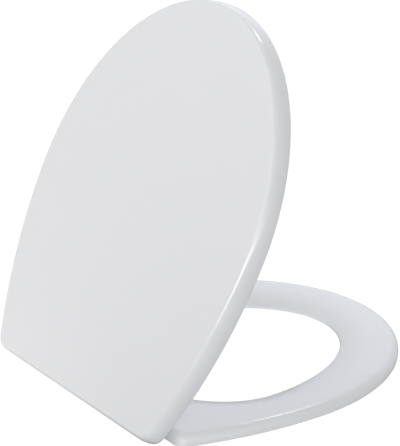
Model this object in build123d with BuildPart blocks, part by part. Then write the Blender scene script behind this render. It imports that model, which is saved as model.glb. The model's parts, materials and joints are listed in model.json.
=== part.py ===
from build123d import *
from math import asin, cos, degrees, radians, sin
import os

os.makedirs("parts", exist_ok=True)

# Toilet seat: a lid and a ring on two soft-close hinge barrels. Sizes are in millimetres.
# The origin lies on the hinge axis, midway between the two sockets for the pan's pillars.
# The front of the seat points to -Y, +X runs along the hinge axis and +Z is up.

# Lid
lid_length = 445.0
lid_width = 364.0
lid_rear_width = 275.0
lid_widest_from_rear = 216.0
lid_corner = 19.0
lid_depth = 21.0
lid_wall = 3.5
lid_edge_round = 8.0
lid_overhang = 25.0
lid_open_angle = 66.0
lid_ring_gap = 4.0

# Ring
ring_lift = 7.0
ring_depth = 13.0
ring_wall = 4.0
ring_inset = 1.5
ring_setback = 15.0
ring_corner = 12.0
ring_edge_round = 10.0
ring_side_band = 63.0
ring_front_band = 67.5
ring_rear_band = 48.0
opening_behind_widest = 22.0
opening_round = 1.2
inner_edge_depth = 3.0
dish_width = 50.0
dish_steps = 5
dish_breakout = 0.25
inner_land = 12.0
ring_rib = 2.5
ring_rib_pairs = 6

# Hinge
pillar_spacing = 155.0
barrel_radius = 8.0
barrel_length = 60.0
barrel_chamfer = 0.8
swing_clearance = 0.5
side_clearance = 1.0
ear_width = 14.0
ear_root_radius = 6.0
ear_root_behind = 9.0
boss_overlap = 1.0
cut_past = 1.0
height_tolerance = 0.1
running_clearance = 0.05
seat_clearance = 0.02

# Socket for a pan pillar
socket_radius = 4.5
socket_top = 5.0
socket_mouth = 5.0
mouth_radius = 6.5
snap_groove_depth = 0.6
snap_groove_width = 1.6
notch_margin = 4.5
notch_roof = 5.0

# Damper
damper_radius = 6.2
damper_wall = 1.2
damper_floor = 1.9
damper_length = 20.9
cap_thickness = 5.0
shaft_radius = 3.0
journal_radius = 1.5
journal_length = 1.0
vane_clearance = 0.3
vane_width = 1.8
vane_angle = 10.0
housing_rib = 2.4
drive_half_thickness = 2.2
pocket_end_gap = 0.5
seal_section = 1.0
end_wall = 1.5

# Plain pivot
pin_seat = 20.0
pin_tip_clearance = 1.5
pin_chamfer = 0.5
bush_wall = 1.5
bush_flange_radius = 6.5
bush_flange = 0.6

# Rubber buffers
ring_buffer_length = 30.0
ring_buffer_width = 12.0
ring_buffer_round = 1.5
ring_buffer_angles = {
    "front_right": 55.0,
    "front_left": 125.0,
    "rear_left": 230.0,
    "rear_right": 310.0,
}
lid_buffer_radius = 6.0
lid_buffer_height = 5.0
lid_buffer_round = 1.0
lid_buffer_rest_gap = 0.3
buffer_stem_radius = 2.5
buffer_stem_length = 5.0
buffer_boss_wall = 3.0
buffer_edge_margin = 2.5

# Heights, from the pan up
ring_top = ring_lift + ring_depth
lid_rim_bottom = ring_top + lid_ring_gap
lid_top = lid_rim_bottom + lid_depth
axis_height = lid_top - lid_wall - swing_clearance - barrel_radius

# Plan places, from the hinge axis
lid_rear = lid_overhang
widest_y = lid_rear - lid_widest_from_rear
front_reach = lid_length - lid_widest_from_rear
side_taper = (lid_width - lid_rear_width) / 2
side_radius = (lid_widest_from_rear**2 + side_taper**2) / (2 * side_taper)
ring_half_width = lid_width / 2 - ring_inset
opening_y = widest_y + opening_behind_widest
opening_half_width = ring_half_width - ring_side_band
opening_front = opening_behind_widest + front_reach - ring_inset - ring_front_band
opening_rear = -ring_setback - ring_rear_band - opening_y

# Places along the hinge axis, from a pillar's centre
barrel_end = barrel_length / 2
ear_start = barrel_end + side_clearance
ear_end = ear_start + ear_width
pocket_end = ear_end - end_wall
bush_radius = shaft_radius + running_clearance + bush_wall
chamber_radius = damper_radius - damper_wall
chamber_length = damper_length - damper_floor

# Where the lid's buffers meet the flat outer band of the ring's top
land_middle = ring_half_width - ring_edge_round - lid_buffer_radius - buffer_edge_margin
lid_buffer_places = ((-land_middle, widest_y), (land_middle, widest_y))

lid_tilt = radians(lid_open_angle)
ring_frame = Plane.XY
lid_frame = Plane(origin=(0, 0, 0), x_dir=(1, 0, 0), z_dir=(0, sin(lid_tilt), cos(lid_tilt)))


def level(frame, height):
    """A plane of the closed seat at a height over the pan, carried by the ring's or the lid's frame."""
    return frame.offset(height - axis_height)


def across(frame, x):
    """A plane square to the hinge axis at x, whose own x runs to the rear and whose own y runs up."""
    return Plane(origin=frame.origin + frame.x_dir * x, x_dir=frame.y_dir, z_dir=frame.x_dir)


def finish(part, name):
    part.part.label = name
    export_step(part.part, f"parts/{name}.step")


def seat_outline(inset, rear_edge, corner):
    """Plan of the lid or the ring: an elliptical front, arc sides and a straight rear edge."""
    half_width = lid_width / 2 - inset
    radius = side_radius - inset
    turn = degrees(asin((rear_edge - widest_y) / radius))
    with BuildSketch() as plan:
        with BuildLine():
            EllipticalCenterArc((0, widest_y), half_width, front_reach - inset, 180, arc_size=180)
            right = CenterArc((half_width - radius, widest_y), radius, 0, turn)
            left = CenterArc((radius - half_width, widest_y), radius, 180, -turn)
            Line(right @ 1, left @ 1)
        make_face()
        fillet(plan.vertices().group_by(Axis.Y)[-1], corner)
    return plan.sketch


def oval(margin):
    """Plan of the ring's opening, grown by a margin."""
    half_width = opening_half_width + margin
    with BuildSketch() as plan:
        with BuildLine():
            EllipticalCenterArc((0, opening_y), half_width, opening_front + margin, 180, arc_size=180)
            EllipticalCenterArc((0, opening_y), half_width, opening_rear + margin, 0, arc_size=180)
        make_face()
    return plan.sketch


def dish(lowered):
    """The hollow over the ring's curved top, moved down by a distance."""
    edge = ring_lift + inner_edge_depth
    rise = ring_top + dish_breakout - edge
    with BuildPart() as hollow:
        for step in range(-1, dish_steps + 1):
            across_dish = step / dish_steps
            height = edge + rise * (1 - (1 - across_dish) ** 2)
            with BuildSketch(level(ring_frame, height - lowered)):
                add(oval(dish_width * across_dish))
        loft()
        with BuildSketch(level(ring_frame, edge + rise - lowered)):
            add(oval(dish_width))
        extrude(amount=lowered + cut_past)
    return hollow.part


def buffer_place(angle):
    """Place and turn of a ring buffer, on the oval midway between the opening and the outer edge."""
    front = opening_front + ring_front_band / 2
    rear = opening_rear + ring_rear_band / 2
    half_width = opening_half_width + ring_side_band / 2
    across_x = half_width * cos(radians(angle))
    reach = front if sin(radians(angle)) > 0 else rear
    along = Vector(-half_width * sin(radians(angle)), -reach * cos(radians(angle)))
    place = Vector(across_x, opening_y - reach * sin(radians(angle)))
    return place, along.normalized()


def host_start(centre, takes):
    """The lower x of the ear or boss on the drive side or the bush side of a barrel."""
    return centre - ear_end if takes == "drive" else centre + ear_start


def drive_profile(clearance):
    """The flatted end of a damper shaft, which turns what it sits in."""
    with BuildSketch() as profile:
        Circle(shaft_radius + clearance)
        Rectangle(4 * shaft_radius, 2 * (drive_half_thickness + clearance), mode=Mode.INTERSECT)
    return profile.sketch


def pocket(frame, centre, takes):
    """The blind hole in an ear or boss, open towards the barrel."""
    depth = pocket_end - ear_start
    start = centre - pocket_end if takes == "drive" else centre + ear_start
    with BuildPart() as hole:
        with BuildSketch(across(frame, start)):
            if takes == "drive":
                add(drive_profile(running_clearance))
            else:
                Circle(bush_radius + seat_clearance)
        extrude(amount=depth)
    return hole.part


def ring_solid():
    """The ring: a moulded channel with a dished top, ribs, two ears and four buffer bosses."""
    underside = level(ring_frame, ring_lift)
    with BuildPart() as hollow:
        with BuildSketch(underside):
            add(seat_outline(ring_inset + ring_wall, -ring_setback - ring_wall, ring_corner - ring_wall))
        extrude(amount=ring_depth - ring_wall)
        fillet(hollow.faces().sort_by(Axis.Z)[-1].edges(), ring_edge_round - ring_wall)
        add(dish(ring_wall), mode=Mode.SUBTRACT)
        with BuildSketch(underside):
            add(oval(inner_land))
        extrude(amount=ring_depth, mode=Mode.SUBTRACT)
        with BuildSketch(underside):
            with Locations((0, opening_y)):
                with PolarLocations(0, ring_rib_pairs, angular_range=180):
                    Rectangle(2 * lid_length, ring_rib)
        extrude(amount=ring_depth, mode=Mode.SUBTRACT)
    with BuildPart() as ring:
        with BuildSketch(underside):
            add(seat_outline(ring_inset, -ring_setback, ring_corner))
        extrude(amount=ring_depth)
        fillet(ring.faces().sort_by(Axis.Z)[-1].edges(), ring_edge_round)
        add(dish(0), mode=Mode.SUBTRACT)
        with BuildSketch(underside):
            add(oval(0))
        extrude(amount=ring_depth, mode=Mode.SUBTRACT)
        rim_height = ring_lift + inner_edge_depth - axis_height
        rim = ring.edges().filter_by_position(Axis.Z, rim_height - height_tolerance, rim_height + height_tolerance)
        fillet(rim, opening_round)
        add(hollow.part, mode=Mode.SUBTRACT)
        for centre, takes in ((-pillar_spacing / 2, "drive"), (pillar_spacing / 2, "bush")):
            with BuildSketch(across(ring_frame, host_start(centre, takes))):
                Circle(barrel_radius)
                with Locations((-ring_setback - ear_root_behind, ring_lift + ear_root_radius - axis_height)):
                    Circle(ear_root_radius)
                make_hull()
            extrude(amount=ear_width)
            add(pocket(ring_frame, centre, takes), mode=Mode.SUBTRACT)
        for angle in ring_buffer_angles.values():
            place, along = buffer_place(angle)
            with BuildSketch(underside):
                with Locations(place):
                    Circle(buffer_stem_radius + buffer_boss_wall)
            extrude(amount=ring_depth - ring_wall)
            with BuildSketch(underside):
                with Locations(place):
                    Circle(buffer_stem_radius + seat_clearance)
            extrude(amount=buffer_stem_length + seat_clearance, mode=Mode.SUBTRACT)
    return ring


def lid_solid():
    """The lid: a moulded shell with a rounded rim, two hinge bosses, two buffer bosses and pillar notches."""
    rim = level(lid_frame, lid_rim_bottom)
    upwards = Axis(lid_frame.origin, lid_frame.z_dir)
    with BuildPart() as hollow:
        with BuildSketch(rim):
            add(seat_outline(lid_wall, lid_rear - lid_wall, lid_corner - lid_wall))
        extrude(amount=lid_depth - lid_wall)
        fillet(hollow.faces().sort_by(upwards)[-1].edges(), lid_edge_round - lid_wall)
    with BuildPart() as lid:
        with BuildSketch(rim):
            add(seat_outline(0, lid_rear, lid_corner))
        extrude(amount=lid_depth)
        fillet(lid.faces().sort_by(upwards)[-1].edges(), lid_edge_round)
        add(hollow.part, mode=Mode.SUBTRACT)
        boss_top = lid_top - axis_height - lid_wall + boss_overlap
        boss_rear = lid_rear - lid_wall + boss_overlap
        for centre, takes in ((-pillar_spacing / 2, "bush"), (pillar_spacing / 2, "drive")):
            with BuildSketch(across(lid_frame, host_start(centre, takes))):
                Circle(barrel_radius)
                with Locations((-barrel_radius, 0)):
                    Rectangle(barrel_radius + boss_rear, boss_top, align=(Align.MIN, Align.MIN))
            extrude(amount=ear_width)
            add(pocket(lid_frame, centre, takes), mode=Mode.SUBTRACT)
        with BuildSketch(rim):
            with Locations((-pillar_spacing / 2, lid_rear), (pillar_spacing / 2, lid_rear)):
                Rectangle(2 * (socket_radius + notch_margin), 2 * (lid_wall + cut_past))
        extrude(amount=lid_depth - notch_roof, mode=Mode.SUBTRACT)
        buffer_top = ring_top + lid_buffer_rest_gap + lid_buffer_height
        with BuildSketch(level(lid_frame, buffer_top)):
            with Locations(*lid_buffer_places):
                Circle(lid_buffer_radius)
        extrude(amount=lid_top - lid_wall / 2 - buffer_top)
        with BuildSketch(level(lid_frame, buffer_top)):
            with Locations(*lid_buffer_places):
                Circle(buffer_stem_radius + seat_clearance)
        extrude(amount=buffer_stem_length + seat_clearance, mode=Mode.SUBTRACT)
    return lid


def barrel_solid(centre):
    """A hinge barrel: damper bore on its -X side, pivot pin hole on its +X side, pillar socket from below."""
    with BuildPart() as barrel:
        with BuildSketch(across(ring_frame, centre - barrel_end)):
            Circle(barrel_radius)
        extrude(amount=barrel_length)
        chamfer(barrel.edges().filter_by(GeomType.CIRCLE), barrel_chamfer)
        with BuildSketch(across(ring_frame, centre - barrel_end)):
            Circle(damper_radius + seat_clearance)
        extrude(amount=damper_length + seat_clearance, mode=Mode.SUBTRACT)
        with BuildSketch(across(ring_frame, centre + barrel_end - pin_seat)):
            Circle(shaft_radius + seat_clearance)
        extrude(amount=pin_seat, mode=Mode.SUBTRACT)
        mouth = Plane(origin=(centre, 0, -socket_mouth))
        with BuildSketch(mouth):
            Circle(mouth_radius)
        extrude(amount=-barrel_radius, mode=Mode.SUBTRACT)
        with BuildSketch(mouth):
            Circle(socket_radius)
        extrude(amount=socket_mouth + socket_top, mode=Mode.SUBTRACT)
        with BuildSketch(mouth.offset(socket_mouth - snap_groove_width / 2)):
            Circle(socket_radius + snap_groove_depth)
        extrude(amount=snap_groove_width, mode=Mode.SUBTRACT)
    return barrel


def housing_solid(centre):
    """The damper's cup, with a bearing hole in its floor and one rib that the oil has to pass."""
    chamber_start = centre - barrel_end
    with BuildPart() as housing:
        with BuildSketch(across(ring_frame, chamber_start)):
            Circle(damper_radius)
        extrude(amount=damper_length)
        with BuildSketch(across(ring_frame, chamber_start)):
            Circle(chamber_radius)
        extrude(amount=chamber_length, mode=Mode.SUBTRACT)
        with BuildSketch(across(ring_frame, chamber_start + chamber_length)):
            Circle(journal_radius + running_clearance)
        extrude(amount=journal_length + vane_clearance, mode=Mode.SUBTRACT)
        rib_root = shaft_radius + vane_clearance
        rib_height = (chamber_radius + damper_radius) / 2 - rib_root
        with BuildSketch(across(ring_frame, chamber_start + cap_thickness + vane_clearance)):
            with Locations((0, rib_root + rib_height / 2)):
                Rectangle(housing_rib, rib_height)
        extrude(amount=chamber_length - cap_thickness - vane_clearance)
    return housing


def rotor_solid(frame, centre):
    """The damper's shaft: a journal in the cup's floor, one vane, and the flatted drive end."""
    floor = centre - barrel_end + chamber_length
    vane_start = centre - barrel_end + cap_thickness + vane_clearance
    vane_length = chamber_length - cap_thickness - 2 * vane_clearance
    drive_start = centre - pocket_end + pocket_end_gap
    shoulder = centre - ear_start + vane_clearance
    with BuildPart() as rotor:
        with BuildSketch(across(frame, drive_start)):
            add(drive_profile(0))
        extrude(amount=shoulder - drive_start)
        with BuildSketch(across(frame, shoulder)):
            Circle(shaft_radius)
        extrude(amount=floor - vane_clearance - shoulder)
        with BuildSketch(across(frame, floor - vane_clearance)):
            Circle(journal_radius)
        extrude(amount=journal_length + vane_clearance)
        vane_reach = chamber_radius - vane_clearance
        with BuildSketch(across(frame, vane_start)):
            with Locations(Location((0, 0, 0), (0, 0, vane_angle))):
                with Locations((vane_reach / 2, 0)):
                    Rectangle(vane_reach, vane_width)
            Circle(vane_reach, mode=Mode.INTERSECT)
        extrude(amount=vane_length)
    return rotor


def cap_solid(centre):
    """The plug that closes the damper's cup, with a groove for the seal."""
    with BuildPart() as cap:
        with BuildSketch(across(ring_frame, centre - barrel_end)):
            Circle(chamber_radius - seat_clearance)
            Circle(shaft_radius + running_clearance, mode=Mode.SUBTRACT)
        extrude(amount=cap_thickness)
        groove_width = seal_section + 2 * seat_clearance
        with BuildSketch(across(ring_frame, centre - barrel_end + (cap_thickness - groove_width) / 2)):
            Circle(shaft_radius + running_clearance + seal_section + seat_clearance)
        extrude(amount=groove_width, mode=Mode.SUBTRACT)
    return cap


def seal_solid(centre):
    """The O-ring round the damper's shaft."""
    middle = (centre - barrel_end + cap_thickness / 2, 0, 0)
    with BuildPart() as seal:
        with BuildSketch(Plane(origin=middle, x_dir=(1, 0, 0), z_dir=(0, -1, 0))):
            with Locations((0, shaft_radius + running_clearance + seal_section / 2)):
                Circle(seal_section / 2)
        revolve(axis=Axis(middle, (1, 0, 0)))
    return seal


def pin_solid(centre):
    """The plain pivot pin, held in the barrel."""
    start = barrel_end - pin_seat
    with BuildPart() as pin:
        with BuildSketch(across(ring_frame, centre + start)):
            Circle(shaft_radius)
        extrude(amount=pocket_end - pin_tip_clearance - start)
        chamfer(pin.edges().filter_by(GeomType.CIRCLE), pin_chamfer)
    return pin


def bush_solid(frame, centre):
    """The flanged bush in which the pivot pin turns."""
    with BuildPart() as bush:
        with BuildSketch(across(frame, centre + ear_start - bush_flange)):
            Circle(bush_flange_radius)
        extrude(amount=bush_flange)
        with BuildSketch(across(frame, centre + ear_start)):
            Circle(bush_radius)
        extrude(amount=pocket_end - ear_start - pocket_end_gap)
        with BuildSketch(across(frame, centre + ear_start - bush_flange)):
            Circle(shaft_radius + running_clearance)
        extrude(amount=ear_width, mode=Mode.SUBTRACT)
    return bush


def ring_buffer_solid(angle):
    """A rubber foot under the ring, with its stem in the boss."""
    place, along = buffer_place(angle)
    foot = Plane(origin=(place.X, place.Y, -axis_height), x_dir=along)
    with BuildPart() as buffer:
        with BuildSketch(foot):
            SlotOverall(ring_buffer_length, ring_buffer_width)
        extrude(amount=ring_lift)
        fillet(buffer.faces().sort_by(Axis.Z)[0].edges(), ring_buffer_round)
        with BuildSketch(foot.offset(ring_lift)):
            Circle(buffer_stem_radius)
        extrude(amount=buffer_stem_length)
    return buffer


def lid_buffer_solid(place):
    """A rubber button on the lid's boss, which meets the ring when the lid is shut."""
    button = level(lid_frame, ring_top + lid_buffer_rest_gap)
    with BuildPart() as buffer:
        with BuildSketch(button):
            with Locations(place):
                Circle(lid_buffer_radius)
        extrude(amount=lid_buffer_height)
        fillet(buffer.faces().sort_by(Axis(button.origin, button.z_dir))[0].edges(), lid_buffer_round)
        with BuildSketch(button.offset(lid_buffer_height)):
            with Locations(place):
                Circle(buffer_stem_radius)
        extrude(amount=buffer_stem_length)
    return buffer


finish(ring_solid(), "seat_ring")
finish(lid_solid(), "lid")

for side, centre, rotor_frame, bush_frame in (
    ("left", -pillar_spacing / 2, ring_frame, lid_frame),
    ("right", pillar_spacing / 2, lid_frame, ring_frame),
):
    finish(barrel_solid(centre), f"{side}_hinge_barrel")
    finish(housing_solid(centre), f"{side}_damper_housing")
    finish(rotor_solid(rotor_frame, centre), f"{side}_damper_rotor")
    finish(cap_solid(centre), f"{side}_damper_cap")
    finish(seal_solid(centre), f"{side}_damper_seal")
    finish(pin_solid(centre), f"{side}_pivot_pin")
    finish(bush_solid(bush_frame, centre), f"{side}_pivot_bush")

for name, angle in ring_buffer_angles.items():
    finish(ring_buffer_solid(angle), f"{name}_ring_buffer")

for side, place in zip(("left", "right"), lid_buffer_places):
    finish(lid_buffer_solid(place), f"{side}_lid_buffer")
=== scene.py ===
import json
import math

import bmesh
import bpy
from bpy.props import FloatProperty, FloatVectorProperty, IntProperty, PointerProperty
from mathutils import Matrix, Vector, geometry


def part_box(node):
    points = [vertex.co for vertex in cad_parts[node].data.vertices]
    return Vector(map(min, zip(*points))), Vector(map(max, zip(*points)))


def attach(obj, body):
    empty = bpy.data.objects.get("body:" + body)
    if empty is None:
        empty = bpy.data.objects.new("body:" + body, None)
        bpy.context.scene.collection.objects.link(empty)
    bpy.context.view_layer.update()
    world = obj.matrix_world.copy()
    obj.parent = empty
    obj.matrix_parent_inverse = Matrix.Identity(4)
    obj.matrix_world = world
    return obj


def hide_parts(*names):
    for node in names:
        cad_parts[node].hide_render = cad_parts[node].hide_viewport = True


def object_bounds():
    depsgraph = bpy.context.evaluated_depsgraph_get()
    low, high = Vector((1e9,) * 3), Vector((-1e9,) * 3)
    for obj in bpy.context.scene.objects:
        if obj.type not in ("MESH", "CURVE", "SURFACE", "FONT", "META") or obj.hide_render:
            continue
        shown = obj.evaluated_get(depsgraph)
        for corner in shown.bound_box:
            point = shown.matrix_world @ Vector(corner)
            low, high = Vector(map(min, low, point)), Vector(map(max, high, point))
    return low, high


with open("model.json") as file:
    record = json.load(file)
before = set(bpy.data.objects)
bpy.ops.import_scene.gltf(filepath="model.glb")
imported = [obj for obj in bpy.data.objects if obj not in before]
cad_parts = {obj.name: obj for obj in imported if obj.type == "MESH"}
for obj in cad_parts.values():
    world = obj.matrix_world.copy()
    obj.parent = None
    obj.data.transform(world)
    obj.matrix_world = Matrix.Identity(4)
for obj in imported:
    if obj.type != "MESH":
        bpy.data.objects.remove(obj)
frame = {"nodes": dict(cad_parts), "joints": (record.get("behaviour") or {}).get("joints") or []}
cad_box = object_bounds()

bl_info = {
    "name": "Toilet seat",
    "version": (1, 0, 0),
    "blender": (4, 5, 0),
    "location": "View3D > Sidebar > Toilet seat",
    "description": "Dresses a white toilet seat with its lid part open, and sets up its studio",
    "category": "Object",
}


# How finely the plan of the lid and the ring is divided
FRONT_STEPS, SIDE_STEPS, CORNER_STEPS, REAR_STEPS = 140, 44, 14, 40
# How finely their sections and the round holes are divided
FACE_STEPS, EDGE_STEPS, LIP_STEPS, BAND_STEPS, RIB_STEPS = 14, 20, 5, 24, 24
ROUND_STEPS = 48
# Under 1, this crowds the loops of the lid's face towards its border
FACE_SPREAD = 0.7
# Rounds of the search for a point's distance from the oval opening
MARGIN_ROUNDS = 12
# Edges that turn by more degrees than this are shaded as sharp
SHARP_ANGLE = 32.0

# Waves a metre of each unevenness in the finishes
BROAD_WAVES, WORN_PATCHES, FINE_GRAIN = 14.0, 55.0, 420.0
RUBBER_GRAIN, DUST_PATCHES = 900.0, 70.0
TURNING_MARKS = (2600.0, 60.0, 60.0)
# Heights of the unevenness, in metres
WHITE_RIPPLE, GREY_RIPPLE = 0.00001, 0.00005
SEAL_GRAIN, BUFFER_GRAIN = 0.00002, 0.00004
MARK_DEPTH = 0.00002
# Refraction of plastic and rubber, and how shiny rubber is
REFRACTION, RUBBER_SHINE = 1.5, 0.35
# Share of the fine grain in the plastic's ripple
GRAIN_SHARE = 0.6
# Levels of its noise at which wear starts and is full
WEAR_START, WEAR_END = 0.35, 0.75
# Least roughness of each finish but the polished white, which has a property for it
GREY_ROUGHNESS, RUBBER_ROUGHNESS, STEEL_ROUGHNESS = 0.35, 0.55, 0.22
# What wear, grain, dust and turning marks add to the roughness
WEAR_MATTE, GRAIN_MATTE, DUST_MATTE, MARK_MATTE = 0.05, 0.02, 0.2, 0.15
# How much darker each finish is in places
WHITE_MOTTLE, GREY_MOTTLE, RUBBER_MOTTLE, STEEL_MOTTLE = 0.008, 0.12, 0.1, 0.15

# What each of the lid's bosses and the ring's ears holds
LID_HOSTS = {"left": "bush", "right": "drive"}
RING_HOSTS = {"left": "drive", "right": "bush"}


class Signal:
    """A socket's output that takes part in Python arithmetic by adding Math nodes."""

    def __init__(self, nodes, socket):
        self.nodes = nodes
        self.socket = socket

    def maths(self, operation, *values):
        """The result of one Math node."""
        return self.nodes.node("ShaderNodeMath", {"operation": operation}, dict(enumerate(values)))

    def __add__(self, other):
        return self.maths("ADD", self, other)

    def __sub__(self, other):
        return self.maths("SUBTRACT", self, other)

    def __rsub__(self, other):
        return self.maths("SUBTRACT", other, self)

    def __mul__(self, other):
        return self.maths("MULTIPLY", self, other)

    def __truediv__(self, other):
        return self.maths("DIVIDE", self, other)

    def __rtruediv__(self, other):
        return self.maths("DIVIDE", other, self)

    def exponential(self):
        """The number e to the power of the signal."""
        return self.maths("EXPONENT", self)

    __radd__ = __add__
    __rmul__ = __mul__


class Nodes:
    """A node tree, and short ways to add to it."""

    def __init__(self, tree):
        self.tree = tree
        tree.nodes.clear()

    def feed(self, socket, value):
        """Sets a socket to a value, or links a signal to it."""
        if isinstance(value, Signal):
            self.tree.links.new(value.socket, socket)
        else:
            socket.default_value = value

    def node(self, kind, settings=None, inputs=None, output=0):
        """Adds a node with its settings, feeds its sockets and gives one of its outputs."""
        made = self.tree.nodes.new(kind)
        for key, value in (settings or {}).items():
            if key == "stops":
                for stop, (place, level) in zip(made.color_ramp.elements, value):
                    stop.position = place
                    stop.color = (level, level, level, 1)
            else:
                setattr(made, key, value)
        for key, value in (inputs or {}).items():
            self.feed(made.inputs[key], value)
        return Signal(self, made.outputs[output])

    def deliver(self, kind, signal):
        """Ends the tree in an output node."""
        self.feed(self.tree.nodes.new(kind).inputs[0], signal)

    def place(self):
        """Where a point lies on the piece, in metres."""
        return self.node("ShaderNodeTexCoord", output="Object")

    def reach(self, vector, out):
        """How far a vector reaches in one direction."""
        return self.node("ShaderNodeVectorMath", {"operation": "DOT_PRODUCT"}, {0: vector, 1: out}, "Value")

    def noise(self, scale, detail=2.0, roughness=0.5):
        """Noise over the piece, of so many waves a metre."""
        inputs = {"Vector": self.place(), "Scale": scale, "Detail": detail, "Roughness": roughness}
        return self.node("ShaderNodeTexNoise", inputs=inputs)

    def blend(self, share, low, high):
        """A colour between two, by a share from 0 to 1."""
        settings = {"data_type": "RGBA", "blend_type": "MIX"}
        return self.node("ShaderNodeMix", settings, {"Factor": share, 6: low, 7: high}, output=2)

    def ramp(self, signal, start, end):
        """A signal spread from 0 at start to 1 at end, held at both ends."""
        stops = ((start, 0.0), (end, 1.0))
        return self.node("ShaderNodeValToRGB", {"stops": stops}, {0: signal})


class Finish(Nodes):
    """A node material: one Principled shader and what varies over the surface."""

    def __init__(self, name, **constants):
        self.material = bpy.data.materials.new(name)
        self.material.use_nodes = True
        super().__init__(self.material.node_tree)
        self.shader = self.tree.nodes.new("ShaderNodeBsdfPrincipled")
        self.deliver("ShaderNodeOutputMaterial", Signal(self, self.shader.outputs[0]))
        for socket, value in constants.items():
            self.feed(self.shader.inputs[socket.replace("_", " ")], value)

    def vary(self, socket, signal):
        """Lets a signal drive one of the shader's sockets."""
        self.feed(self.shader.inputs[socket], signal)

    def bump(self, height, distance):
        """Raises the surface by a signal times a distance in metres."""
        inputs = {"Height": height, "Distance": distance, "Strength": 1.0}
        self.vary("Normal", self.node("ShaderNodeBump", inputs=inputs))


def rgba(colour, light=1.0):
    """A colour made darker by a factor, with its alpha."""
    return (colour[0] * light, colour[1] * light, colour[2] * light, 1.0)


def moulded_plastic(name, colour, roughness, ripple, mottle):
    """Moulded plastic: a faint unevenness of the skin, and gloss that is a little worn in places."""
    finish = Finish(name, IOR=REFRACTION)
    broad = finish.noise(BROAD_WAVES)
    fine = finish.noise(FINE_GRAIN, detail=3.0)
    worn = finish.ramp(finish.noise(WORN_PATCHES, detail=5.0, roughness=0.65), WEAR_START, WEAR_END)
    finish.vary("Base Color", finish.blend(broad, rgba(colour, 1.0 - mottle), rgba(colour)))
    finish.vary("Roughness", roughness + worn * WEAR_MATTE + fine * GRAIN_MATTE)
    finish.bump(fine * GRAIN_SHARE + broad, ripple)
    return finish.material


def rubber(name, colour, grain):
    """Soft rubber with a matte, slightly grainy skin."""
    finish = Finish(name, IOR=REFRACTION, Specular_IOR_Level=RUBBER_SHINE)
    grains = finish.noise(RUBBER_GRAIN, detail=4.0, roughness=0.7)
    dust = finish.noise(DUST_PATCHES, detail=4.0)
    finish.vary("Base Color", finish.blend(dust, rgba(colour), rgba(colour, 1.0 - RUBBER_MOTTLE)))
    finish.vary("Roughness", RUBBER_ROUGHNESS + dust * DUST_MATTE)
    finish.bump(grains, grain)
    return finish.material


def turned_steel(name, colour):
    """Turned stainless steel with fine marks round the pin's axis."""
    finish = Finish(name, Metallic=1.0)
    inputs = {0: finish.place(), 1: TURNING_MARKS}
    stretched = finish.node("ShaderNodeVectorMath", {"operation": "MULTIPLY"}, inputs)
    marks = finish.node("ShaderNodeTexNoise", inputs={"Vector": stretched, "Scale": 1.0, "Detail": 3.0})
    finish.vary("Base Color", finish.blend(marks, rgba(colour), rgba(colour, 1.0 - STEEL_MOTTLE)))
    finish.vary("Roughness", STEEL_ROUGHNESS + marks * MARK_MATTE)
    finish.bump(marks, MARK_DEPTH)
    return finish.material


def gloss_white():
    """The polished white plastic, made once."""
    finishes = bpy.context.scene.seat_finishes
    made = bpy.data.materials.get("white_gloss")
    if made:
        return made
    return moulded_plastic(
        "white_gloss", finishes.white, finishes.white_roughness, WHITE_RIPPLE, WHITE_MOTTLE
    )


def length(name, description, millimetres):
    """A size in Blender's metres, given in millimetres."""
    default = millimetres / 1000.0
    return FloatProperty(name=name, description=description, default=default, min=0.0, unit="LENGTH")


def angle(name, description, degrees):
    """An angle in Blender's radians, given in degrees."""
    return FloatProperty(name=name, description=description, default=math.radians(degrees), subtype="ANGLE")


def tint(name, description, value):
    """A colour of one of the finishes."""
    return FloatVectorProperty(
        name=name, description=description, default=value, min=0.0, max=1.0, subtype="COLOR"
    )


class SEAT_PG_lid(bpy.types.PropertyGroup):
    """Sizes of the lid that its CAD box doesn't give."""

    widest_from_rear: length("Widest from rear", "From the rear edge to the widest place", 216.0)
    rear_width: length("Rear width", "Width at the rear, before its corners are rounded", 275.0)
    corner: length("Corner", "Radius of the two rear corners", 19.0)
    wall: length("Wall", "Thickness of the moulding", 3.5)
    edge_reach: length("Edge reach", "How far in from the side the face starts to fall", 6.8)
    crown: length("Crown", "Rise of the face's middle over its border", 1.0)
    lip: length("Lip", "Radius at the rim's lower corners", 1.0)
    buffer_boss: length("Buffer boss", "Radius of the boss over a buffer", 6.0)
    buffer_stem: length("Buffer stem", "Radius of the hole for a buffer's stem", 2.52)
    stem_depth: length("Stem depth", "Depth of the hole for a buffer's stem", 5.0)
    notch_width: length("Notch width", "Width of the opening over a pan pillar", 18.0)
    notch_roof: length("Notch roof", "Height left over that opening", 5.0)


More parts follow.
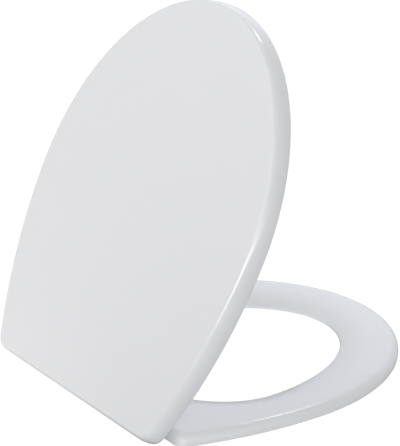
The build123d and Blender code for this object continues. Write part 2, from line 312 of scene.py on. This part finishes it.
class SEAT_PG_ring(bpy.types.PropertyGroup):
    """Sizes of the ring that its CAD box doesn't give."""

    depth: length("Depth", "Height of the ring's outer wall", 13.0)
    wall: length("Wall", "Thickness of the moulding", 4.0)
    setback: length("Setback", "From the hinge axis to the rear edge", 15.0)
    corner: length("Corner", "Radius of the two rear corners", 12.0)
    edge_round: length("Edge round", "Radius of the outer edge", 10.0)
    side_band: length("Side band", "Width at the sides", 63.0)
    front_band: length("Front band", "Width at the front", 67.5)
    rear_band: length("Rear band", "Width at the rear", 48.0)
    opening_behind: length("Opening behind", "From the widest place back to the oval's middle", 22.0)
    opening_round: length("Opening round", "Radius of the opening's upper edge", 1.2)
    inner_edge: length("Inner edge", "Height of the opening's upright edge", 3.0)
    dish_width: length("Dish width", "Width over which the top falls to the opening", 46.0)
    inner_land: length("Inner land", "Width of the solid edge round the opening", 12.0)
    rib: length("Rib", "Thickness of the ribs", 2.5)
    lip: length("Lip", "Radius at the lower corners", 0.8)
    buffer_boss: length("Buffer boss", "Radius of the boss over a foot", 5.5)
    buffer_stem: length("Buffer stem", "Radius of the hole for a foot's stem", 2.52)
    ear_root: length("Ear root", "Radius of the ear's lower end", 6.0)
    ear_root_behind: length("Ear root place", "From the rear edge to the ear's lower end", 9.0)
    ribs: IntProperty(name="Ribs", description="Ribs across the channel", default=12, min=4)


class SEAT_PG_hinge(bpy.types.PropertyGroup):
    """Sizes of the ears and bosses beside the barrels, and of the sockets in them."""

    side_clearance: length("Side clearance", "Between a barrel and an ear or boss", 1.0)
    host_width: length("Ear width", "Width of an ear or a boss", 14.0)
    end_wall: length("End wall", "Left behind a socket", 1.5)
    bush_radius: length("Bush socket", "Radius of the socket for a bush", 4.57)
    drive_radius: length("Drive socket", "Radius of the socket for a damper's shaft", 3.05)
    drive_flat: length("Drive flat", "From the axis to the flats of that socket", 2.25)


class SEAT_PG_finishes(bpy.types.PropertyGroup):
    """Colours and gloss of the seat's pieces."""

    white: tint("White plastic", "Colour of the lid, the ring and the hinge barrels", (0.80, 0.80, 0.805))
    white_roughness: FloatProperty(
        name="White roughness",
        description="Roughness of the polished white plastic",
        default=0.07,
        min=0.0,
        max=1.0,
        subtype="FACTOR",
    )
    grey: tint("Damper plastic", "Colour of the dampers and the bushes", (0.22, 0.225, 0.235))
    steel: tint("Pin steel", "Colour of the pivot pins", (0.62, 0.62, 0.64))
    buffer: tint("Buffer rubber", "Colour of the rubber buffers", (0.62, 0.62, 0.61))
    seal: tint("Seal rubber", "Colour of the damper seals", (0.02, 0.02, 0.02))


class SEAT_PG_studio(bpy.types.PropertyGroup):
    """Where the camera stands, and the floor."""

    azimuth: angle("Azimuth", "Camera's direction round the seat", 230.231)
    elevation: angle("Elevation", "Camera's angle over the horizon", 20.456)
    roll: angle("Roll", "Camera's turn about its own line of sight", 3.0387)
    distance: FloatProperty(
        name="Distance",
        description="From the camera to the point that it looks at",
        default=1.71938,
        unit="LENGTH",
    )
    target: FloatVectorProperty(
        name="Target",
        description="The point that the camera looks at",
        default=(0.02619, -0.17494, 0.12801),
        subtype="TRANSLATION",
    )
    lens: FloatProperty(
        name="Lens",
        description="Focal length in millimetres, on a sensor whose long side is 36 mm",
        default=124.284,
        unit="CAMERA",
    )
    floor_size: FloatProperty(
        name="Floor size",
        description="Side of the square floor",
        default=16.0,
        unit="LENGTH",
    )


def dress(nodes, material):
    """Gives CAD nodes a material in all their slots."""
    for name in nodes:
        for slot in frame["nodes"][name].material_slots:
            slot.material = material


def both_sides(*pieces):
    """The names of the left and right nodes of some pieces."""
    return [f"{side}_{piece}" for side in ("left", "right") for piece in pieces]


def way(degrees):
    """A step of length 1 at an angle from the x axis."""
    return Vector((math.cos(math.radians(degrees)), math.sin(math.radians(degrees))))


def arc(centre, reach, start, end, steps):
    """Points along part of an ellipse, each with its outward direction, without the last."""
    for step in range(steps):
        turn = way(start + (end - start) * step / steps)
        point = Vector((centre[0] + reach[0] * turn.x, centre[1] + reach[1] * turn.y))
        yield point, Vector((turn.x / reach[0], turn.y / reach[1])).normalized()


def circle(centre, radius, start=0.0, end=360.0, steps=ROUND_STEPS):
    """Points along part of a circle, without the last."""
    return [(point.x, point.y) for point, out in arc(centre, (radius, radius), start, end, steps)]


def seat_outline(half_width, front_reach, side_radius, widest, rear, corner):
    """Plan of the lid or ring: an elliptical front, arc sides and a straight rear with round corners."""
    side = half_width - side_radius
    corner_y = rear - corner
    corner_x = side + math.sqrt((side_radius - corner) ** 2 - (corner_y - widest) ** 2)
    turn = math.degrees(math.atan2(corner_y - widest, corner_x - side))
    sides, corners = (side_radius, side_radius), (corner, corner)
    plan = list(arc((0, widest), (half_width, front_reach), 180, 360, FRONT_STEPS))
    plan += arc((side, widest), sides, 0, turn, SIDE_STEPS)
    plan += arc((corner_x, corner_y), corners, turn, 90, CORNER_STEPS)
    for step in range(REAR_STEPS):
        plan.append((Vector((corner_x * (1 - 2 * step / REAR_STEPS), rear)), Vector((0, 1))))
    plan += arc((-corner_x, corner_y), corners, 90, 180 - turn, CORNER_STEPS)
    plan += arc((-side, widest), sides, 180 - turn, 180, SIDE_STEPS)
    return plan


def loop_at(plan, inset, height):
    """The plan moved in by a distance, at one height."""
    return [Vector((*(point - out * inset), height)) for point, out in plan]


def skin(name, loops, closed=False):
    """A mesh through loops of as many points each, closed by fans at both ends or back to its start."""
    count = len(loops[0])
    points = [point for loop in loops for point in loop]
    starts = [turn * count for turn in range(len(loops))]
    pairs = list(zip(starts, starts[1:]))
    if closed:
        pairs.append((starts[-1], 0))
    faces = []
    for low, high in pairs:
        for here in range(count):
            there = (here + 1) % count
            faces.append((low + here, low + there, high + there, high + here))
    if not closed:
        for loop, start in ((loops[0], 0), (loops[-1], starts[-1])):
            middle = len(points)
            points.append(sum(loop, Vector()) / count)
            faces += [(start + here, start + (here + 1) % count, middle) for here in range(count)]
    return solid(name, points, faces)


def solid(name, points, faces):
    """A closed mesh whose faces all look outwards."""
    mesh = bpy.data.meshes.new(name)
    mesh.from_pydata(points, [], faces)
    work = bmesh.new()
    work.from_mesh(mesh)
    bmesh.ops.recalc_face_normals(work, faces=work.faces)
    work.to_mesh(mesh)
    work.free()
    return mesh


def prism(name, outline, along, start, thickness):
    """An outline of pairs made thick along one axis; the pairs are the other two axes, in order."""
    lay = {
        "x": lambda a, b, c: (c, a, b),
        "y": lambda a, b, c: (a, c, b),
        "z": lambda a, b, c: (a, b, c),
    }[along]
    points = [Vector(lay(a, b, level)) for level in (start, start + thickness) for a, b in outline]
    count = len(outline)
    faces = [tuple(range(count)), tuple(range(count, 2 * count))]
    for here in range(count):
        there = (here + 1) % count
        faces.append((here, there, count + there, count + here))
    return solid(name, points, faces)


def drum(place, radius, low, high):
    """An upright cylinder."""
    return prism("drum", circle(place, radius), "z", low, high - low)


def combine(mesh, operation, tools):
    """The mesh with other closed meshes joined to it or cut from it."""
    piece = bpy.data.objects.new("work", mesh)
    helpers = [piece]
    bpy.context.collection.objects.link(piece)
    for tool in tools:
        helper = bpy.data.objects.new("tool", tool)
        helpers.append(helper)
        bpy.context.collection.objects.link(helper)
        change = piece.modifiers.new("change", "BOOLEAN")
        change.operation = operation
        change.solver = "EXACT"
        change.object = helper
    shaped = piece.evaluated_get(bpy.context.evaluated_depsgraph_get())
    result = bpy.data.meshes.new_from_object(shaped)
    for helper in helpers:
        bpy.data.objects.remove(helper)
    return result


def show(name, mesh, body, replaced):
    """Adds a finished white mesh as a piece that rides on a body and stands for a CAD node."""
    mesh.name = name
    mesh.materials.clear()
    mesh.materials.append(gloss_white())
    mesh.shade_smooth()
    mesh.set_sharp_from_angle(angle=math.radians(SHARP_ANGLE))
    piece = bpy.data.objects.new(name, mesh)
    bpy.context.collection.objects.link(piece)
    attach(piece, body)
    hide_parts(replaced)


def fallen(distance, radius):
    """How far a quarter round lies below its top, at a distance in from its outer face."""
    if distance >= radius:
        return 0.0
    return radius - math.sqrt(radius**2 - (radius - distance) ** 2)


def lid_angle():
    """How far the lid stands open from the ring, in radians."""
    joint = next(joint for joint in frame["joints"] if joint["name"] == "lid_hinge")
    return math.radians(joint["range_deg"][1])


def shut_box(name):
    """Lowest and highest corner of a CAD node of the lid, turned shut about the hinge axis."""
    shut = Matrix.Rotation(lid_angle(), 4, "X")
    corners = [shut @ vertex.co for vertex in frame["nodes"][name].data.vertices]
    low, high = (Vector(pick(values) for values in zip(*corners)) for pick in (min, max))
    return low, high


def middle_of(low, high):
    """The middle of a box, seen from above."""
    return (low.x + high.x) / 2, (low.y + high.y) / 2


def barrel_radius():
    """Radius of the hinge barrels."""
    low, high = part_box("left_hinge_barrel")
    return (high.y - low.y) / 2


class LidShell:
    """Sections of the lid, in the shut lid's place: y from the hinge axis, z up from it."""

    def __init__(self, size):
        low, high = shut_box("lid")
        self.size = size
        self.top, self.rim, self.rear = high.z, low.z, high.y
        self.half_width = high.x
        self.widest = high.y - size.widest_from_rear
        taper = high.x - size.rear_width / 2
        self.side_radius = (size.widest_from_rear**2 + taper**2) / (2 * taper)
        self.plan = seat_outline(
            high.x, self.widest - low.y, self.side_radius, self.widest, self.rear, size.corner
        )
        self.fall = self.top - self.rim - size.lip

    def edge(self, steepness, wall):
        """Inset and height of the outer or inner edge where its slope is so many degrees."""
        reach = self.size.edge_reach - wall
        fall = self.fall - wall
        slope = math.radians(steepness)
        turn = math.atan2(math.sin(slope) * reach, math.cos(slope) * fall)
        return wall + reach * (1 - math.sin(turn)), self.top - wall - fall * (1 - math.cos(turn))

    def face(self, wall, shares):
        """Loops over the slightly crowned face, outside or inside, from shares of the way out."""
        inset, height = self.edge(0, wall)
        middle = Vector((0, self.widest, height))
        border = loop_at(self.plan, inset, height)
        for share in shares:
            lift = Vector((0, 0, self.size.crown * (1 - share**2)))
            yield [middle + (point - middle) * share + lift for point in border]

    def loops(self):
        """From the face's middle over the rim, round its lower lip and back under the face."""
        size, lip = self.size, self.size.lip
        shares = [(step / FACE_STEPS) ** FACE_SPREAD for step in range(1, FACE_STEPS)]
        yield from self.face(0, shares)
        for step in range(EDGE_STEPS + 1):
            yield loop_at(self.plan, *self.edge(90 * step / EDGE_STEPS, 0))
        for step in range(1, LIP_STEPS + 1):
            turn = way(90 * step / LIP_STEPS)
            yield loop_at(self.plan, lip * (1 - turn.x), self.rim + lip * (1 - turn.y))
        for step in range(LIP_STEPS):
            turn = way(90 * step / LIP_STEPS)
            yield loop_at(self.plan, size.wall - lip * (1 - turn.y), self.rim + lip * (1 - turn.x))
        for step in range(EDGE_STEPS, -1, -1):
            yield loop_at(self.plan, *self.edge(90 * step / EDGE_STEPS, size.wall))
        yield from self.face(size.wall, reversed(shares))


class RingShell:
    """Sections of the ring, a moulded channel round an oval opening."""

    def __init__(self, size, lid):
        low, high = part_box("seat_ring")
        self.size = size
        self.bottom, self.top = low.z, low.z + size.depth
        side_radius = lid.side_radius - (lid.half_width - high.x)
        self.plan = seat_outline(
            high.x, lid.widest - low.y, side_radius, lid.widest, -size.setback, size.corner
        )
        self.centre = Vector((0, lid.widest + size.opening_behind))
        self.half_width = high.x - size.side_band
        self.front = self.centre.y - low.y - size.front_band
        self.rear = -size.setback - size.rear_band - self.centre.y

    def oval(self, towards, margin):
        """The point of the opening's edge, grown by a margin, that lies a given way from its centre."""
        across = self.half_width + margin
        along = (self.front if towards.y < 0 else self.rear) + margin
        return self.centre + towards / math.hypot(towards.x / across, towards.y / along)

    def margin(self, point):
        """How far a point lies outside the opening's edge."""
        towards = point - self.centre
        margin = 0.0
        for turn in range(MARGIN_ROUNDS):
            margin += towards.length - (self.oval(towards, margin) - self.centre).length
        return margin

    def crowned(self, point):
        """Height of the ring's curved top at a point, before its outer edge is rounded."""
        size = self.size
        short = max(0.0, 1 - max(0.0, self.margin(point)) / size.dish_width)
        return self.top - (size.depth - size.inner_edge) * short**2

    def across(self, inset, wall=0.0):
        """A loop over the rounded outer edge, on the outer face or a wall's thickness inside it."""
        radius = self.size.edge_round - wall
        for point, out in self.plan:
            place = (point - out * inset).to_2d()
            yield Vector((*place, self.crowned(place) - wall - fallen(inset - wall, radius)))

    def between(self, share, margin, wall=0.0):
        """A loop a share of the way from the rounded edge's start to a margin round the opening."""
        for point, out in self.plan:
            outer = point - out * self.size.edge_round
            towards = outer - self.centre
            place = outer.lerp(self.oval(towards, margin), share)
            yield Vector((*place, self.crowned(place) - wall))

    def beside(self, margin, height):
        """A level loop at a margin round the opening."""
        for point, out in self.plan:
            towards = point - out * self.size.edge_round - self.centre
            yield Vector((*self.oval(towards, margin), height))

    def loops(self):
        """From the outer lip over the top to the opening, and back along the channel's inside."""
        size, bottom, lip = self.size, self.bottom, self.size.lip
        for step in range(LIP_STEPS + 1):
            turn = way(90 * step / LIP_STEPS)
            yield loop_at(self.plan, lip * (1 - turn.y), bottom + lip * (1 - turn.x))
        for step in range(EDGE_STEPS + 1):
            yield list(self.across(size.edge_round * (1 - way(90 * step / EDGE_STEPS).x)))
        for step in range(1, BAND_STEPS):
            yield list(self.between(step / BAND_STEPS, size.opening_round))
        for step in range(LIP_STEPS + 1):
            margin = size.opening_round * (1 - way(90 * step / LIP_STEPS).y)
            drop = fallen(margin, size.opening_round)
            yield [Vector((point.x, point.y, point.z - drop)) for point in self.between(1, margin)]
        for step in range(LIP_STEPS + 1):
            turn = way(90 * step / LIP_STEPS)
            yield list(self.beside(lip * (1 - turn.x), bottom + lip * (1 - turn.y)))
        yield list(self.beside(size.inner_land, bottom))
        for step in range(BAND_STEPS + 1):
            yield list(self.between(1 - step / BAND_STEPS, size.inner_land, size.wall))
        for step in range(1, EDGE_STEPS + 1):
            reach = (size.edge_round - size.wall) * (1 - way(90 * step / EDGE_STEPS).y)
            yield list(self.across(size.wall + reach, size.wall))
        yield loop_at(self.plan, size.wall, bottom)

    def rib(self, degrees):
        """A rib across the channel, its top and ends within the channel's walls."""
        size, half_wall, towards = self.size, self.size.wall / 2, way(degrees)
        point, out = min(self.plan, key=lambda near: -(near[0] - self.centre).normalized().dot(towards))
        start = self.oval(towards, size.inner_land - half_wall)
        reach = (point - out * half_wall - self.centre).length - (start - self.centre).length
        outline = [(0, self.bottom), (reach, self.bottom)]
        for step in range(RIB_STEPS, -1, -1):
            place = start + towards * reach * step / RIB_STEPS
            inset = max(half_wall, (point - place).dot(out))
            drop = fallen(inset - half_wall, size.edge_round - half_wall)
            outline.append((reach * step / RIB_STEPS, self.crowned(place) - half_wall - drop))
        mesh = prism("rib", outline, "y", -size.rib / 2, size.rib)
        turn = Matrix.Rotation(math.radians(degrees), 4, "Z")
        mesh.transform(Matrix.Translation((*start, 0)) @ turn)
        return mesh


def hinge_hosts(outline, hosts):
    """The lid's two bosses or the ring's two ears, and the sockets that are cut from them."""
    size = bpy.context.scene.seat_hinge
    made, sockets = [], []
    for side, takes in hosts.items():
        low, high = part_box(f"{side}_hinge_barrel")
        if takes == "drive":
            start = low.x - size.side_clearance - size.host_width
        else:
            start = high.x + size.side_clearance
        made.append(prism("host", outline, "x", start, size.host_width))
        sockets.append(hinge_socket(start, takes))
    return made, sockets


def hinge_socket(start, takes):
    """What is cut from an ear or a boss, open to the barrel, for a bush or a damper's flatted shaft."""
    size = bpy.context.scene.seat_hinge
    depth = size.host_width - size.end_wall
    if takes == "bush":
        return prism("socket", circle((0, 0), size.bush_radius), "x", start - depth, 2 * depth)
    flat = size.drive_flat
    outline = [(y, max(-flat, min(flat, z))) for y, z in circle((0, 0), size.drive_radius)]
    return prism("socket", outline, "x", start + size.end_wall, 2 * depth)


class SEAT_OT_lid(bpy.types.Operator):
    """Mould the lid's shell with its rounded edge, hinge bosses, buffer bosses and notches"""

    bl_idname = "seat.lid"
    bl_label = "Lid"

    def execute(self, context):
        size = context.scene.seat_lid
        shell = LidShell(size)
        bosses, cuts = hinge_hosts(self.boss_outline(shell), LID_HOSTS)
        for side in ("left", "right"):
            low, high = shut_box(f"{side}_lid_buffer")
            place, boss_end = middle_of(low, high), high.z - size.stem_depth
            bosses.append(drum(place, size.buffer_boss, boss_end, shell.top - size.wall / 2))
            cuts.append(drum(place, size.buffer_stem, boss_end - size.wall, boss_end + size.stem_depth))
        for side in (-1, 1):
            cuts.append(self.notch(shell, side))
        mesh = combine(skin("lid_shell", list(shell.loops())), "UNION", bosses)
        mesh = combine(mesh, "DIFFERENCE", cuts)
        mesh.transform(Matrix.Rotation(-lid_angle(), 4, "X"))
        show("lid_shell", mesh, "cover", "lid")
        return {"FINISHED"}

    def boss_outline(self, shell):
        """A boss from the side: round under the hinge axis, and up into the lid's rear edge."""
        radius, half_wall = barrel_radius(), shell.size.wall / 2
        edge = [shell.edge(90 * step / EDGE_STEPS, half_wall) for step in range(EDGE_STEPS, -1, -1)]
        rear = [(shell.rear - inset, height) for inset, height in edge if height > 0]
        under = circle((0, 0), radius, 180, 360, ROUND_STEPS // 2) + [(radius, 0), (rear[0][0], 0)]
        return under + rear + [(-radius, shell.top - half_wall)]

    def notch(self, shell, side):
        """What is cut from the lid's rear wall over a pan pillar."""
        size = shell.size
        middle, half = side * middle_of(*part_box("right_hinge_barrel"))[0], size.notch_width / 2
        left, right = middle - half, middle + half
        front, rear = shell.rear - 2 * size.wall, shell.rear + size.wall
        corners = [(left, front), (right, front), (right, rear), (left, rear)]
        height = shell.top - shell.rim - size.notch_roof
        return prism("notch", corners, "z", shell.rim - size.wall, height + size.wall)


class SEAT_OT_ring(bpy.types.Operator):
    """Mould the ring's channel with its ribs, hinge ears and buffer bosses"""

    bl_idname = "seat.ring"
    bl_label = "Ring"

    def execute(self, context):
        size = context.scene.seat_ring
        shell = RingShell(size, LidShell(context.scene.seat_lid))
        ribs = [shell.rib(360 * turn / size.ribs) for turn in range(size.ribs)]
        bosses, stems = [], []
        for end in ("front", "rear"):
            for side in ("left", "right"):
                low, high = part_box(f"{end}_{side}_ring_buffer")
                place = middle_of(low, high)
                bosses.append(drum(place, size.buffer_boss, shell.bottom, shell.top - size.wall))
                stems.append(drum(place, size.buffer_stem, shell.bottom - size.wall, high.z))
        ears, sockets = hinge_hosts(self.ear_outline(shell), RING_HOSTS)
        channel = skin("ring_shell", list(shell.loops()), closed=True)
        mesh = combine(channel, "UNION", ribs + bosses + ears)
        mesh = combine(mesh, "DIFFERENCE", stems + sockets)
        show("ring_shell", mesh, "ring", "seat_ring")
        return {"FINISHED"}

    def ear_outline(self, shell):
        """An ear from the side: a round about the hinge axis, drawn together with its lower end."""
        size = shell.size
        root = (-size.setback - size.ear_root_behind, shell.bottom + size.ear_root)
        rounds = circle((0, 0), barrel_radius()) + circle(root, size.ear_root)
        points = [Vector(point) for point in rounds]
        return [points[turn].to_tuple() for turn in geometry.convex_hull_2d(points)]


class SEAT_OT_barrels(bpy.types.Operator):
    """Finish the two hinge barrels in polished white plastic"""

    bl_idname = "seat.barrels"
    bl_label = "Hinge barrels"

    def execute(self, context):
        dress(both_sides("hinge_barrel"), gloss_white())
        return {"FINISHED"}


class SEAT_OT_hinges(bpy.types.Operator):
    """Finish the dampers, the pins and the bushes inside the hinges"""

    bl_idname = "seat.hinges"
    bl_label = "Hinge inner pieces"

    def execute(self, context):
        finishes = context.scene.seat_finishes
        grey = moulded_plastic("damper_grey", finishes.grey, GREY_ROUGHNESS, GREY_RIPPLE, GREY_MOTTLE)
        dress(both_sides("damper_housing", "damper_rotor", "damper_cap", "pivot_bush"), grey)
        dress(both_sides("pivot_pin"), turned_steel("pin_steel", finishes.steel))
        dress(both_sides("damper_seal"), rubber("seal_rubber", finishes.seal, SEAL_GRAIN))
        return {"FINISHED"}


class SEAT_OT_buffers(bpy.types.Operator):
    """Finish the six rubber buffers"""

    bl_idname = "seat.buffers"
    bl_label = "Rubber buffers"

    def execute(self, context):
        material = rubber("buffer_rubber", context.scene.seat_finishes.buffer, BUFFER_GRAIN)
        feet = [f"{end}_{side}_ring_buffer" for end in ("front", "rear") for side in ("left", "right")]
        dress(feet + both_sides("lid_buffer"), material)
        return {"FINISHED"}


# The light tent's faint surround, and the colours of the lights in it
SURROUND = (0.02, 0.02, 0.02)
COOL, NEUTRAL = (0.95, 0.99, 1.06), (1.0, 1.0, 1.0)
# Azimuth and elevation of each light's middle, its sharpness, strength and colour, and its flatness
LIGHTS = {
    "rear_left": (225.0, 12.0, 8.0, 2.40, NEUTRAL, 0.0),
    "left": (270.0, 12.0, 8.0, 0.40, COOL, 0.0),
    "front": (0.0, 12.0, 8.0, 0.80, NEUTRAL, 0.0),
    "front_right": (45.0, 12.0, 8.0, 0.82, COOL, 0.0),
    "rear_right": (135.0, 12.0, 8.0, 0.36, NEUTRAL, 0.0),
    "high_front": (45.0, 42.0, 8.0, 1.25, COOL, 0.0),
    "high_rear": (135.0, 42.0, 8.0, 1.54, NEUTRAL, 0.0),
    "ring_glint": (20.0, 53.0, 400.0, 12.0, NEUTRAL, 0.0),
    "rim_strip": (238.0, 6.0, 7.0, 8.5, NEUTRAL, 200.0),
}
# How bright the camera sees the floor and what lies behind it
PAPER_GLOW = 1.05
# Colours of the paper floor's darker and paler side, as it returns light: painted shade on the one and a
# painted pool of light on the other
PAPER_PAINTED_SHADE = (0.30, 0.31, 0.33, 1.0)
PAPER_PAINTED_LIGHT = (0.85, 0.85, 0.85, 1.0)
# Azimuth of the paler side, where a pool of light is painted, and where on the way to it the fade starts
# and ends, in metres
PAINTED_LIGHT_SIDE = 70.0
FADE_START, FADE_END = -0.2, 0.02
# How far the floor lies below the lowest point of the seat, in metres
FLOOR_GAP = 0.0005
# Long side of the camera's sensor in millimetres, and how near and far it sees, in metres
SENSOR_WIDTH = 36.0
NEAREST, FURTHEST = 0.05, 50.0


def direction(azimuth, elevation):
    """The way out from the seat: azimuth 0 is its front, 90 its +X side."""
    flat = math.cos(elevation)
    return Vector((math.sin(azimuth) * flat, -math.cos(azimuth) * flat, math.sin(elevation)))


class SEAT_OT_stage(bpy.types.Operator):
    """Set up the floor, the soft lights and the camera"""

    bl_idname = "seat.stage"
    bl_label = "Studio"

    def execute(self, context):
        studio = context.scene.seat_studio
        self.lay_floor(studio.floor_size)
        self.hang_lights(context.scene)
        self.stand_camera(context.scene, studio)
        return {"FINISHED"}

    def lay_floor(self, size):
        """A square of paper just under the seat."""
        mesh = bpy.data.meshes.new("floor")
        half = size / 2
        corners = [(-half, -half, 0), (half, -half, 0), (half, half, 0), (-half, half, 0)]
        mesh.from_pydata(corners, [], [(0, 1, 2, 3)])
        mesh.materials.append(self.paper())
        floor = bpy.data.objects.new("floor", mesh)
        bpy.context.collection.objects.link(floor)
        floor.location.z = cad_box[0].z - FLOOR_GAP

    def paper(self):
        """Paper that is plain white to the camera; the light that it returns is grey, with a painted pool
        of light on its paler side and painted shade on its darker side.
        """
        material = bpy.data.materials.new("floor_paper")
        material.use_nodes = True
        nodes = Nodes(material.node_tree)
        # Painted light and shade: the floor's colour fades from a darker grey to a paler one towards one
        # side, standing in for uneven lamp light on the floor
        along = nodes.reach(nodes.place(), direction(math.radians(PAINTED_LIGHT_SIDE), 0.0))
        share = (along - FADE_START) / (FADE_END - FADE_START)
        colour = nodes.blend(share, PAPER_PAINTED_SHADE, PAPER_PAINTED_LIGHT)
        soft = nodes.node("ShaderNodeBsdfDiffuse", inputs={"Color": colour})
        nodes.deliver("ShaderNodeOutputMaterial", self.to_camera(nodes, soft, "ShaderNodeEmission"))
        return material

    def to_camera(self, nodes, shader, glowing):
        """A shader that the camera sees as plain white, by a node that glows."""
        seen = nodes.node("ShaderNodeLightPath", output="Is Camera Ray")
        white = nodes.node(glowing, inputs={"Color": (1, 1, 1, 1), "Strength": PAPER_GLOW})
        return nodes.node("ShaderNodeMixShader", inputs={0: seen, 1: shader, 2: white})

    def hang_lights(self, scene):
        """A faint light tent with soft lights in it, plain white to the camera."""
        world = bpy.data.worlds.new("light_tent")
        world.use_nodes = True
        scene.world = world
        nodes = Nodes(world.node_tree)
        toward = nodes.node("ShaderNodeTexCoord", output="Generated")
        tent = nodes.node("ShaderNodeBackground", inputs={"Color": rgba(SURROUND), "Strength": 1.0})
        for light in LIGHTS.values():
            tent = nodes.node("ShaderNodeAddShader", inputs={0: tent, 1: self.glow(nodes, toward, *light)})
        nodes.deliver("ShaderNodeOutputWorld", self.to_camera(nodes, tent, "ShaderNodeBackground"))

    def glow(self, nodes, toward, azimuth, elevation, sharpness, strength, colour, flatness):
        """A light that fades all round its middle, and faster above and below it where it is flat."""
        out = direction(math.radians(azimuth), math.radians(elevation))
        fade = (nodes.reach(toward, out) - 1) * sharpness
        if flatness:
            above = nodes.node("ShaderNodeSeparateXYZ", inputs={0: toward}, output="Z") - out.z
            fade = fade - above * above * flatness
        inputs = {"Color": rgba(colour), "Strength": fade.exponential() * strength}
        return nodes.node("ShaderNodeBackground", inputs=inputs)

    def stand_camera(self, scene, studio):
        """The camera looks at its target from a direction and a distance, turned a little."""
        data = bpy.data.cameras.new("camera")
        data.sensor_width = SENSOR_WIDTH
        data.lens = studio.lens
        data.clip_start, data.clip_end = NEAREST, FURTHEST
        camera = bpy.data.objects.new("camera", data)
        bpy.context.collection.objects.link(camera)
        back = direction(studio.azimuth, studio.elevation)
        turn = Matrix.Rotation(studio.roll, 3, back) @ back.to_track_quat("Z", "Y").to_matrix()
        place = Vector(studio.target) + back * studio.distance
        camera.matrix_world = Matrix.Translation(place) @ turn.to_4x4()
        scene.camera = camera
        scene.view_settings.view_transform = "Standard"


class SEAT_PT_panel(bpy.types.Panel):
    """Lists the seat's sizes, its finishes, the studio and the steps"""

    bl_idname = "SEAT_PT_panel"
    bl_label = "Toilet seat"
    bl_space_type = "VIEW_3D"
    bl_region_type = "UI"
    bl_category = "Toilet seat"

    def draw(self, context):
        for owner in GROUPS:
            group = getattr(context.scene, owner)
            for name in group.bl_rna.properties.keys():
                if name not in ("rna_type", "name"):
                    self.layout.prop(group, name)
        for step in STEPS:
            self.layout.operator(step.bl_idname)


STEPS = (SEAT_OT_lid, SEAT_OT_ring, SEAT_OT_barrels, SEAT_OT_hinges, SEAT_OT_buffers, SEAT_OT_stage)
GROUPS = {
    "seat_lid": SEAT_PG_lid,
    "seat_ring": SEAT_PG_ring,
    "seat_hinge": SEAT_PG_hinge,
    "seat_finishes": SEAT_PG_finishes,
    "seat_studio": SEAT_PG_studio,
}
CLASSES = (*GROUPS.values(), *STEPS, SEAT_PT_panel)


def register():
    for made in CLASSES:
        bpy.utils.register_class(made)
    for name, group in GROUPS.items():
        setattr(bpy.types.Scene, name, PointerProperty(type=group))


def unregister():
    for name in GROUPS:
        delattr(bpy.types.Scene, name)
    for made in reversed(CLASSES):
        bpy.utils.unregister_class(made)


def main():
    """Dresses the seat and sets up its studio."""
    register()
    for step in STEPS:
        group, name = step.bl_idname.split(".")
        getattr(getattr(bpy.ops, group), name)()


if __name__ == "__main__":
    main()
